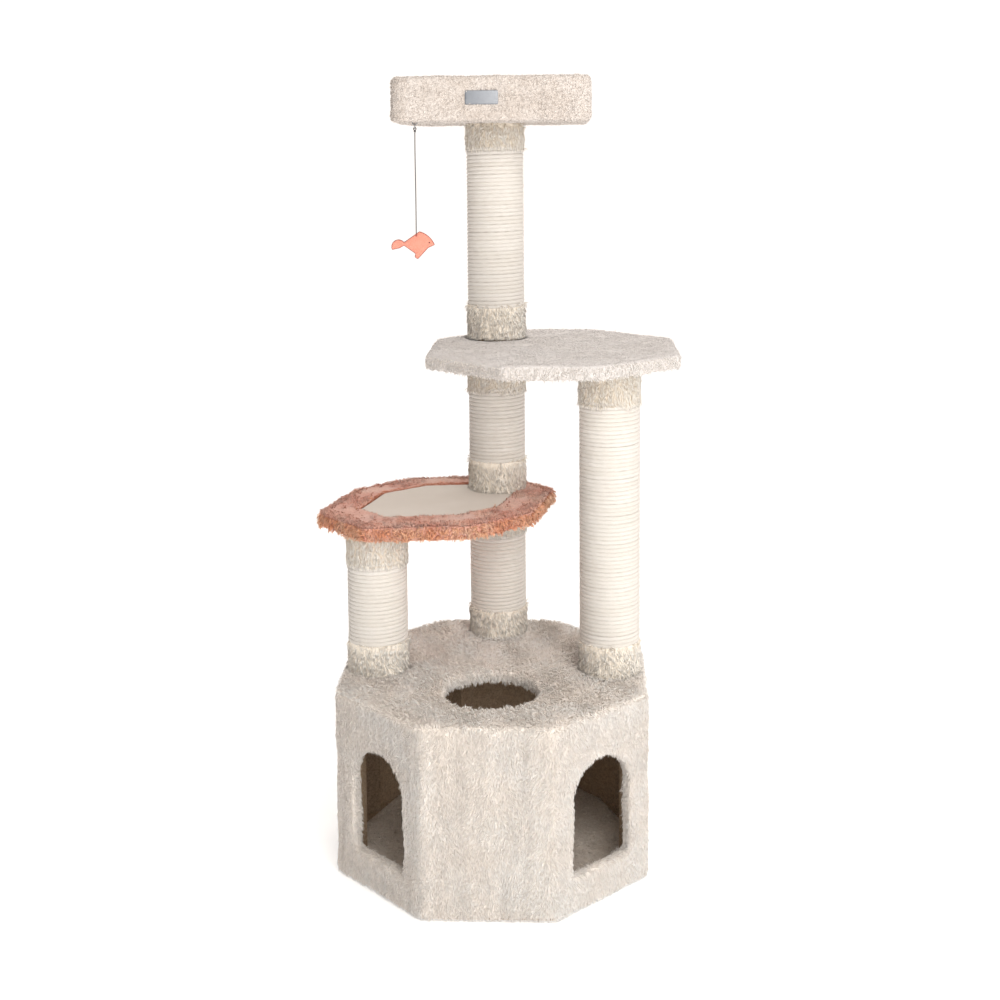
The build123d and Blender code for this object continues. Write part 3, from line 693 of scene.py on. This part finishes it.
def build_collar(node, seed):
    """Plush band round a post's end, brushed down, with a fringe over what is below it."""
    low, high = (np.array(corner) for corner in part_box(node))
    centre = (low + high) / 2
    band = skin_from((node,), node + "_backing", 3 * MM, 3.3 * MM, 3, 0.4 * MM, 0.04, seed=seed, shown=0.3)
    lower = "lower_collar" in node
    points, _, _ = arrays_of(band)
    full_height = (high[2] - low[2]) / (points[:, 2].max() - points[:, 2].min())
    points[:, 2] = centre[2] + (points[:, 2] - centre[2]) * full_height
    move_points(band, points)

    def outside(places, faces):
        away = places[:, :2] - centre[:2]
        reach = np.linalg.norm(away, axis=1)
        brim = (faces[:, 2] > 0.3) & (reach > (high[0] - low[0]) / 2 - 7 * MM)
        return ((faces[:, :2] * away).sum(axis=1) > 0.25 * reach) | brim

    count = int(COLLAR_TUFTS * (high[2] - low[2]) / COLLAR_SHARE)
    spots = sow(band, count, seed + 1, outside)
    outward = unit((spots[0] - centre) * (1, 1, 0))
    lay = np.array([0, 0, -1.0]) + 0.35 * drift(spots[0], 0.03, seed + 2) + 0.4 * outward
    pile = tufts(node + "_pile", spots, lay, 13 * MM, 1.5 * MM, stand=0.26, bend=0.8,
                 clump=0.5, clump_size=8, spread=0.2, seed=seed + 3)
    if lower:
        points, _, _ = arrays_of(pile)
        ground = low[2] - 0.5 * MM
        under = points[:, 2] < ground
        away = unit((points - centre) * (1, 1, 0))
        points[under] += away[under] * (0.8 * (ground - points[under, 2]))[:, None]
        points[under, 2] = ground
        move_points(pile, points)
    # Lower collars take a lighter copy of the collar pile: painted light, as they sit in shade by the
    # platforms and the condo top.
    (painted_light_collar_foot if lower else collar_plush).coat(band, pile)
    for piece in (band, pile):
        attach(piece, "tree")
    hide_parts(node)


def build_posts():
    for index, post in enumerate(POSTS):
        winding(post + "_winding", post + "_rope", 200 + index)
        for end in ("lower", "upper"):
            build_collar(post + "_" + end + "_collar", 300 + index * 20 + (end == "upper") * 10)


# ---------------------------------------------------------------------------
# Platforms
# ---------------------------------------------------------------------------

PANEL_SPREAD = 1.022


def build_low_perch():
    """Salmon rim with curled fur, round a suede panel that is spread to meet it."""
    rim = skin_from(("low_perch_rim",), "low_perch_rim_backing", 4 * MM, 2.2 * MM, 7, 1.2 * MM, 0.05,
                    seed=400, shown=0.4)
    low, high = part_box("low_perch_rim")
    middle = (low[2] + high[2]) / 2
    centre = np.array([(low[0] + high[0]) / 2, (low[1] + high[1]) / 2, middle])

    def edge(places, faces):
        return (np.abs(faces[:, 2]) <= 0.6) & (places[:, 2] > low[2] + 1 * MM)

    def inner(places, faces):
        faces_in = ((centre - places) * faces)[:, :2].sum(axis=1) > 0.012
        return faces_in & (places[:, 2] > high[2] - 7 * MM)

    made = []
    sets = (
        ("top", 19500, lambda p, f: (f[:, 2] > 0.45) & (p[:, 2] > middle), 10 * MM, 1.2 * MM),
        ("edge", 9500, edge, 12 * MM, 1.4 * MM),
        ("under", 7000, lambda p, f: (f[:, 2] < -0.6) & (p[:, 2] < middle), 7 * MM, 1.8 * MM),
        ("inner", 1500, inner, 12.5 * MM, 1.3 * MM),
    )
    for index, (name, count, keep, length, width) in enumerate(sets):
        spots = sow(rim, count, 410 + index, keep)
        outward = unit((spots[0] - centre) * (1, 1, 0))
        lay = 0.8 * drift(spots[0], 0.03, 420 + index) + {
            "top": 0.15 * outward, "edge": np.array([0, 0, -0.8]), "under": outward * 0.2,
            "inner": np.array([0, 0, 0.5]) - 1.5 * outward}[name]
        made.append(tufts("low_perch_plush_" + name, spots, lay, length, width, stand=1.1, bend=0.9,
                          curl=0.8, clump=0.55, clump_size=8, spread=0.5, seed=430 + index,
                          rings=CURL if name == "edge" else PLAIN))
    salmon_top.coat(rim, made[0], made[3])
    salmon.coat(*made[1:3])
    for piece in (rim, *made):
        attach(piece, "tree")
    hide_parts("low_perch_rim")
    panel = skin_from(("low_perch_panel",), "low_perch_suede", 2.5 * MM, -0.5 * MM, 3, 0.35 * MM, 0.09,
                      seed=440)
    points, _, _ = arrays_of(panel)
    points[:, :2] = centre[:2] + (points[:, :2] - centre[:2]) * PANEL_SPREAD
    move_points(panel, points)
    suede.coat(panel)
    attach(panel, "tree")
    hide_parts("low_perch_panel")


def build_mid_platform():
    """Board cover in short pile, brushed to one side on top."""
    cover = skin_from(("mid_platform_plush",), "mid_platform_backing", 4 * MM, 1 * MM, 5, 0.7 * MM, 0.06,
                      seed=500)
    low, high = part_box("mid_platform_plush")
    middle = (low[2] + high[2]) / 2
    made = []
    sets = (
        ("top", 19500, lambda p, f: (f[:, 2] > 0.55) & (p[:, 2] > middle), 6.5 * MM, 0.3),
        ("edge", 9500, lambda p, f: (np.abs(f[:, 2]) <= 0.7), 8 * MM, 0.55),
        ("under", 10000, lambda p, f: (f[:, 2] < -0.7) & (p[:, 2] < middle), 6 * MM, 0.4),
    )
    for index, (name, count, keep, length, stand) in enumerate(sets):
        spots = sow(cover, count, 510 + index, keep)
        lay = 0.5 * drift(spots[0], 0.05, 520 + index) + {
            "top": np.array([0.9, -0.35, 0]), "edge": np.array([0.2, 0, -0.8]),
            "under": np.array([0.5, 0, 0])}[name]
        made.append(tufts("mid_platform_pile_" + name, spots, lay, length, 1.5 * MM, stand=stand,
                          clump=0.4, clump_size=7, spread=0.4, seed=530 + index))
    platform_plush.coat(*made[1:])
    # The cover and top pile take a darker copy of the platform pile: painted shade on the brightly lit top.
    painted_shade_platform_top.coat(cover, made[0])
    for piece in (cover, *made):
        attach(piece, "tree")
    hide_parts("mid_platform_plush")


def build_top_perch():
    """Tray of looped fleece with a pad in it, left clear round the nameplate."""
    cover = skin_from(("perch_plush",), "top_perch_backing", 4 * MM, 0.3 * MM, 2, 0.8 * MM, 0.05, seed=600)
    pad = skin_from(("perch_pad",), "top_perch_pad", 4 * MM, -0.5 * MM, 4, 0.8 * MM, 0.06, seed=601)
    low, high = (np.array(corner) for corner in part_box("perch_plush"))
    centre = (low + high) / 2
    half = (high - low) / 2
    plate_low, plate_high = (np.array(corner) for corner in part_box("nameplate"))
    plate_centre = (plate_low + plate_high) / 2
    plate_half = (plate_high - plate_low) / 2

    def outer(places):
        return (np.abs(places - centre)[:, :2] / half[:2]).max(axis=1) > 0.93

    def clear_of_plate(places):
        return (np.abs(places - plate_centre)[:, (0, 2)] > plate_half[[0, 2]] - 1.2 * MM).any(axis=1)

    def inside(places, faces):
        return ~outer(places) & (np.abs(faces[:, 2]) <= 0.5) & (places[:, 2] > centre[2] - 8 * MM)

    looped = dict(stand=2.0, bend=0.6, curl=0.5, clump=0.5, clump_size=4, spread=0.8,
                  rings=(0, 0.66, 1), taper=LOOP)
    made = []
    sets = (
        ("front", 8200, lambda p, f: outer(p) & (f[:, 1] < -0.6) & clear_of_plate(p)),
        ("rear", 8200, lambda p, f: outer(p) & (f[:, 1] > 0.6)),
        ("sides", 16000, lambda p, f: outer(p) & (np.abs(f[:, 0]) > 0.6)),
        ("rim", 8500, lambda p, f: (f[:, 2] > 0.5) & (p[:, 2] > centre[2])),
        ("inside", 8000, inside),
        ("under", 12000, lambda p, f: (f[:, 2] < -0.6) & (p[:, 2] < low[2] + 6 * MM)),
    )
    for index, (name, count, keep) in enumerate(sets):
        spots = sow(cover, count, 610 + index, keep)
        made.append(tufts("top_perch_loops_" + name, spots, drift(spots[0], 0.012, 620 + index),
                          4.6 * MM, 2.3 * MM, seed=630 + index, **looped))
    spots = sow(pad, 14000, 640, lambda p, f: f[:, 2] > 0.5)
    made.append(tufts("top_perch_loops_pad", spots, drift(spots[0], 0.012, 641),
                      4.6 * MM, 2.5 * MM, seed=642, **looped))
    perch_plush.coat(cover, pad, *made)
    for piece in (cover, pad, *made):
        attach(piece, "tree")
    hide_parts("perch_plush")
    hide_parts("perch_pad")


# ---------------------------------------------------------------------------
# Toy
# ---------------------------------------------------------------------------

# The cord's bends below the knot, in millimetres.
CORD_POINTS = (
    (0, 0, 0), (-0.25, 0.1, -26), (-0.1, 0.25, -56),
    (0.2, 0.1, -92), (0.15, -0.1, -128), (0, 0, -158),
)
CORD_DIAMETER = 1.5 * MM
LOOP_RADIUS = 2.0 * MM
KNOT_RADIUS = 1.05 * MM
KNOT_TURNS = 3
FISH_HEM = 0.9 * MM
FISH_STUFFING = 3.6 * MM


def curve_piece(name, points, radius):
    """A round cord along one open NURBS spline."""
    data = bpy.data.curves.new(name, "CURVE")
    data.dimensions = "3D"
    data.bevel_depth = radius
    data.bevel_resolution = 3
    data.resolution_u = 12
    data.use_fill_caps = True
    spline = data.splines.new("NURBS")
    spline.points.add(len(points) - 1)
    for point, place in zip(spline.points, points):
        point.co = (*place, 1)
    spline.order_u = 3
    spline.use_endpoint_u = True
    piece = bpy.data.objects.new(name, data)
    bpy.context.collection.objects.link(piece)
    return piece


def build_toy():
    low, high = (np.array(corner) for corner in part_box("toy_knot"))
    hang = np.array([(low[0] + high[0]) / 2, (low[1] + high[1]) / 2, low[2]])
    route = [tuple(hang + np.array(point) * MM) for point in CORD_POINTS]
    cord = curve_piece("toy_cord_line", route, CORD_DIAMETER / 2)
    string.coat(cord)
    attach(cord, "toy_line")
    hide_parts("toy_cord")
    build_knot(hang, high[2])
    build_fish()


def build_knot(hang, top):
    """The cord's end taken once round the ring and tied in three turns."""
    centre = top - LOOP_RADIUS - CORD_DIAMETER / 2
    path = [hang + np.array([0, 0, 0.6 * MM])]
    whole = KNOT_TURNS * TAU
    for turn in np.linspace(0, whole, 28):
        rise = (0.9 + 2.1 * turn / whole) * MM
        path.append(hang + np.array([KNOT_RADIUS * math.cos(turn), KNOT_RADIUS * math.sin(turn), rise]))
    for turn in np.linspace(-0.88 * math.pi, 0.88 * math.pi, 14):
        height = centre + LOOP_RADIUS * math.cos(turn)
        path.append(hang * (1, 1, 0) + np.array([LOOP_RADIUS * math.sin(turn), 0, height]))
    path.append(hang + np.array([0, 0, 1.8 * MM]))
    knot = curve_piece("toy_cord_knot", path, CORD_DIAMETER * 0.45)
    string.coat(knot)
    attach(knot, "toy_line")
    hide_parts("toy_knot")


def build_fish():
    """Stuffed felt: thin at its sewn edge, full in the middle, gently curved, with an eye each side."""
    fish = skin_from(("toy_fish",), "toy_fish_felt", 0.8 * MM, 0.0, 6, 0.0, 0.05, seed=700)
    low, high = (np.array(corner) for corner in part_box("toy_fish"))
    points, normals, _ = arrays_of(fish)
    deep = (low[1] + high[1]) / 2
    rim = np.where(np.abs(normals[:, 1]) < 0.35)[0]
    tree = KDTree(len(rim))
    for index, vertex in enumerate(rim):
        tree.insert((points[vertex, 0], 0, points[vertex, 2]), index)
    tree.balance()
    from_rim = np.array([tree.find((x, 0, z))[2] for x, _, z in points])
    fullness = np.sqrt(np.clip(1 - (1 - np.clip(from_rim / (9 * MM), 0, 1)) ** 2, 0, 1))
    side = np.clip((points[:, 1] - deep) / (2 * MM), -1, 1)
    points[:, 1] = deep + side * (FISH_HEM + FISH_STUFFING * fullness)
    across = (points[:, 0] - low[0]) / (high[0] - low[0])
    points[:, 1] += (2.5 * np.sin(across * 5.2 + 0.4) * np.clip((0.35 - across) * 4, 0, 1)) * MM
    move_points(fish, points)
    store(fish.data, "hem", np.clip(from_rim / (3 * MM), 0, 1))
    felt.coat(fish)
    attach(fish, "toy_fish")
    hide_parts("toy_fish")


# ---------------------------------------------------------------------------
# Finishes
# ---------------------------------------------------------------------------

# Each pile finish's first colour is its root: painted shade between the tufts.
plush = pile_finish("condo_plush_pile", (0.84, 0.77, 0.70), (0.985, 0.96, 0.93), (0.955, 0.895, 0.84),
                    patch_scale=12, sheen=0.3, spread=0.26, fleck=0.45)
# A lighter copy of the condo plush for its top and hole: painted light.
painted_light_top_plush = pile_finish("condo_painted_light_top_pile", (0.95, 0.875, 0.80), (0.99, 0.97, 0.94), (0.985, 0.92, 0.86),
                        patch_scale=14, sheen=0.35, spread=0.16, fleck=0.3)
# The inside pad: a greyer plush, darkened as painted shade for the inside of the condo.
painted_shade_floor_plush = pile_finish("condo_floor_pile_grey_painted_shade", (0.45, 0.38, 0.32), (0.79, 0.72, 0.645),
                          (0.70, 0.625, 0.545), streak=(220, 220, 220))
collar_plush = pile_finish("collar_pile", (0.72, 0.62, 0.49), (0.99, 0.96, 0.91), (0.97, 0.92, 0.85),
                           sheen=0.2, spread=0.2, streak=(260, 260, 90), fleck=0.45)
# A lighter copy of the collar pile for the lower collars: painted light.
painted_light_collar_foot = pile_finish("collar_painted_light_foot_pile", (0.88, 0.79, 0.67), (0.99, 0.97, 0.93), (0.985, 0.945, 0.885),
                          sheen=0.2, spread=0.14, streak=(260, 260, 90), fleck=0.4)
platform_plush = pile_finish("platform_pile", (0.66, 0.59, 0.53), (0.885, 0.85, 0.82), (0.85, 0.80, 0.76),
                             patch_scale=16, streak=(240, 240, 240), fleck=0.25)
# A darker copy of the platform pile for the mid platform's top: painted shade.
painted_shade_platform_top = pile_finish("platform_painted_shade_top_pile", (0.57, 0.52, 0.49), (0.77, 0.74, 0.725),
                           (0.735, 0.70, 0.68), patch_scale=16, streak=(240, 240, 240), fleck=0.2)
perch_plush = pile_finish("perch_loops", (0.28, 0.22, 0.18), (0.83, 0.77, 0.725), (0.775, 0.705, 0.65),
                          patch_scale=22, streak=(360, 360, 360), fleck=0.5)
salmon = pile_finish("salmon_pile", (0.46, 0.14, 0.06), (0.98, 0.62, 0.40), (0.93, 0.45, 0.27),
                     patch_scale=13, sheen=0.25, spread=0.36, grey=(0.95, 0.70, 0.55),
                     streak=(300, 300, 180), fleck=0.5)
salmon_top = pile_finish("salmon_top_pile", (0.40, 0.14, 0.09), (0.98, 0.67, 0.54), (0.86, 0.46, 0.36),
                         patch_scale=15, sheen=0.3, spread=0.4, grey=(0.93, 0.72, 0.65),
                         streak=(380, 380, 380), fleck=0.65)


def sisal_finish():
    finish = Finish("sisal_rope", roughness=0.8, sheen=0.1, specular=0.2)
    deep, strand, tone = (finish.field(name) for name in ("deep", "strand", "tone"))
    pale = finish.mix(tone, (0.70, 0.665, 0.62), (0.745, 0.715, 0.68))
    # Painted shade: darker in the grooves between strands and on the side of the rope turned in to the
    # tube.
    groove_shade = (1.0 - strand.steps(0.0, 0.35)) * 0.35
    colour = finish.mix(groove_shade.most(deep.steps(0.35, 0.75)), pale, (0.69, 0.625, 0.55))
    fibre = finish.noise(1.0, detail=3.0, where=finish.stretched(500, 500, 1600))
    finish.set("Base Color", finish.mix(fibre.steps(0.3, 0.7) * 0.16, colour, (0.50, 0.41, 0.31)))
    finish.bump(fibre, 0.0004, 0.7)
    return finish


def suede_finish():
    finish = Finish("cream_suede", roughness=0.9, sheen=0.35, specular=0.15)
    nap = finish.noise(1400, detail=3.0)
    brushed = finish.noise(9, detail=3.0).steps(0.3, 0.7)
    colour = finish.mix(brushed, (0.62, 0.545, 0.475), (0.67, 0.60, 0.53))
    finish.set("Base Color", finish.mix(nap.steps(0.35, 0.65) * 0.12, colour, (0.42, 0.35, 0.29)))
    finish.bump(nap * 0.7 + brushed * 0.3, 0.0003, 0.5)
    return finish


def felt_finish():
    finish = Finish("coral_felt", roughness=0.92, sheen=0.4, specular=0.15)
    hem = finish.field("hem")
    fibres = finish.noise(700, detail=4.0, roughness=0.65, distortion=0.6)
    cloth = finish.mix(fibres.steps(0.3, 0.7), (0.78, 0.27, 0.19), (0.90, 0.37, 0.28))
    cloth = finish.mix(1.0 - hem.steps(0.05, 0.6), cloth, (0.36, 0.10, 0.08))
    low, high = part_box("toy_fish")
    x, _, z = finish.split(finish.place())
    aside = x - low[0] * 0.12 - high[0] * 0.88
    above = z - low[2] * 0.40 - high[2] * 0.60
    from_eye = (aside ** 2.0 + above ** 2.0) ** 0.5
    eye = 1.0 - from_eye.steps(0.9 * MM, 1.4 * MM)
    finish.set("Base Color", finish.mix(eye, cloth, (0.10, 0.03, 0.03)))
    finish.bump(fibres, 0.0005, 0.6)
    return finish


def string_finish():
    finish = Finish("dark_string", roughness=0.75, specular=0.25)
    x, _, z = finish.split(finish.place())
    ply = (z * 2600.0 + x * 2200.0).sine() * 0.5 + 0.5
    finish.set("Base Color", finish.mix(ply, (0.035, 0.033, 0.036), (0.10, 0.095, 0.10)))
    finish.bump(ply, 0.0004, 0.8)
    return finish


def board_finish(name, dark, light):
    finish = Finish(name, roughness=0.85, specular=0.2)
    chips = finish.cells(420)
    dust = finish.noise(260, detail=4.0, roughness=0.7)
    colour = finish.mix(chips.steps(0.1, 0.7), dark, light)
    dusty = tuple(channel * 0.7 for channel in dark)
    finish.set("Base Color", finish.mix(dust.steps(0.4, 0.7) * 0.6, colour, dusty))
    finish.bump(chips * 0.5 + dust * 0.5, 0.0004, 0.5)
    return finish


def cardboard_finish():
    finish = Finish("spiral_cardboard", roughness=0.85, specular=0.2)
    x, _, z = finish.split(finish.place())
    seam = ((z * 22.0 + x * 9.0).fraction() - 0.5).size().steps(0.0, 0.03)
    fibre = finish.noise(300, detail=4.0)
    colour = finish.mix(fibre, (0.30, 0.20, 0.12), (0.42, 0.30, 0.19))
    finish.set("Base Color", finish.mix(1.0 - seam, colour, (0.16, 0.10, 0.06)))
    finish.bump(seam + fibre * 0.3, 0.0003, 0.6)
    return finish


def steel_finish():
    finish = Finish("zinc_steel", roughness=0.35, metallic=1.0)
    spangle = finish.cells(900)
    finish.set("Base Color", finish.mix(spangle.steps(0.1, 0.8), (0.24, 0.24, 0.25), (0.40, 0.40, 0.41)))
    finish.set("Roughness", 0.28 + 0.2 * finish.noise(300))
    finish.bump(finish.noise(1200), 0.0001, 0.4)
    return finish


def plate_finish():
    """Bare brushed plate with a thin pressed border painted darker as shade, and a painted highlight
    lightening it towards one end.
    """
    finish = Finish("brushed_plate", roughness=0.4, metallic=1.0)
    low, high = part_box("nameplate")
    x, _, z = finish.split(finish.place())
    brushing = finish.noise(1.0, detail=3.0, where=finish.stretched(60, 60, 5200))
    smudge = finish.noise(70, detail=2.0).steps(0.4, 0.65)
    # Painted highlight: the plate is lighter towards its +x end.
    bright = x.steps(low[0], high[0] + 8 * MM) * 0.75
    colour = finish.mix(bright, (0.25, 0.262, 0.29), (0.50, 0.515, 0.55))
    colour = finish.mix(brushing.steps(0.3, 0.7) * 0.4, colour, (0.30, 0.32, 0.35))
    colour = finish.mix(smudge * 0.3, colour, (0.34, 0.36, 0.39))

    def pressed(place, axis):
        half = (high[axis] - low[axis]) / 2
        from_middle = (place - (low[axis] + high[axis]) / 2).size()
        return from_middle.steps(half - 1.6 * MM, half - 0.9 * MM)

    # Painted shade: the pressed border is darkened, as the fur round the plate shades its edges.
    border = pressed(x, 0).most(pressed(z, 2))
    finish.set("Base Color", finish.mix(border * 0.6, colour, (0.16, 0.17, 0.19)))
    finish.set("Roughness", 0.32 + 0.22 * brushing)
    finish.bump(brushing * 0.3 - border, 0.0002, 0.5)
    return finish


sisal, suede, felt, string = sisal_finish(), suede_finish(), felt_finish(), string_finish()
board = board_finish("particle_board", (0.39, 0.275, 0.18), (0.56, 0.43, 0.31))
# The battens' wood is darkened beyond the board as painted shade, where light through the doors falls on
# them.
batten = board_finish("batten_wood_painted_shade", (0.29, 0.205, 0.135), (0.45, 0.34, 0.24))
cardboard, steel, plate = cardboard_finish(), steel_finish(), plate_finish()
NODE_FINISH = {"corner_battens": batten}
SLOT_FINISH = {"board": board, "cardboard": cardboard, "steel": steel, "plate_metal": plate}


def coat_cad_nodes():
    """Finishes for the CAD nodes that stay as they are."""
    for part in frame["record"]["subparts"]:
        finish = NODE_FINISH.get(part["node"]) or SLOT_FINISH.get(part["material_slot"])
        if finish:
            finish.coat(frame["nodes"][part["node"]])


add_camera()
add_light()
add_floor()
build_condo()
build_posts()
build_low_perch()
build_mid_platform()
build_top_perch()
build_toy()
coat_cad_nodes()
